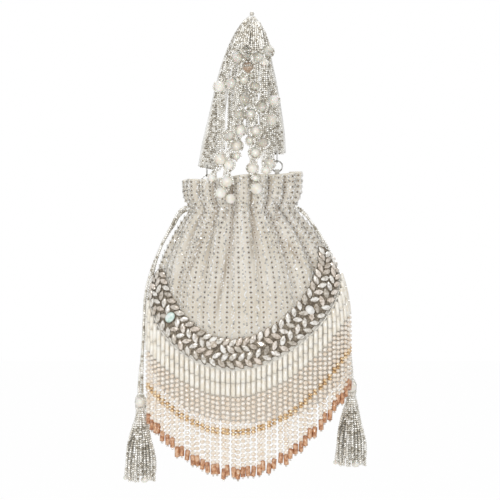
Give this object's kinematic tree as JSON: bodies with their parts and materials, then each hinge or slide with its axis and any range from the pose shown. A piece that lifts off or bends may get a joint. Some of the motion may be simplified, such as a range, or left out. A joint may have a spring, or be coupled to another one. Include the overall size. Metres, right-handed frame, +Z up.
{
  "type": "potli bag",
  "caption": "Gathered drawstring pouch with a beaded strap, pearl strands, a curved crystal band, a bead fringe and tassels, hanging from its strap.",
  "frame": {"origin": "the middle of the strap's fold, at the point that the bag hangs from", "axes": "+Z up along the hanging bag, -Y out of its beaded front, +X to the right of its front"},
  "size_m": [0.213, 0.0909, 0.4096],
  "materials": {
    "cloth": "ivory cloth set with small beads",
    "lining": "matte",
    "silver_beads": "silver lined seed beads",
    "steel": "polished",
    "pearls": "pearl",
    "crystal": "faceted, silver backed",
    "fringe_beads": "glossy cream, gold and copper beads"
  },
  "bodies": {
    "handle": {"strap": "silver_beads", "top_bead": "silver_beads", "link_left": "steel", "link_right": "steel", "strand_1": "pearls", "strand_2": "pearls", "strand_3": "pearls", "strand_4": "pearls", "strand_5": "pearls", "strand_6": "pearls", "strand_7": "pearls", "strand_8": "pearls", "strand_9": "pearls", "strand_10": "pearls", "strand_11": "pearls"},
    "rings": {"ring_left": "steel", "ring_right": "steel"},
    "bag": {"pouch": "cloth", "lining": "lining", "drawstring": "silver_beads", "tab_left": "cloth", "tab_right": "cloth", "crystal_band": "crystal", "fringe": "fringe_beads", "drawcord_left": "silver_beads", "drawcord_right": "silver_beads", "tassel_left": "silver_beads", "tassel_right": "silver_beads", "tassel_pearl_left": "pearls", "tassel_pearl_right": "pearls"}
  },
  "joints": [
    {"name": "rings_swing", "type": "hinge", "parent": "handle", "child": "rings", "pos_m": [-0.0392, 0, -0.1366], "axis": [0.9806, 0, 0.1961], "range_deg": [-25, 25], "deforming": ["strand_4", "strand_5", "strand_6", "strand_7", "strand_8", "strand_9", "strand_10", "strand_11"]},
    {"name": "bag_swing", "type": "hinge", "parent": "rings", "child": "bag", "pos_m": [-0.0392, 0, -0.1462], "axis": [0.9806, 0, 0.1961], "range_deg": [-25, 25], "deforming": ["strand_4", "strand_5", "strand_6", "strand_7", "strand_8", "strand_9", "strand_10", "strand_11"]}
  ]
}
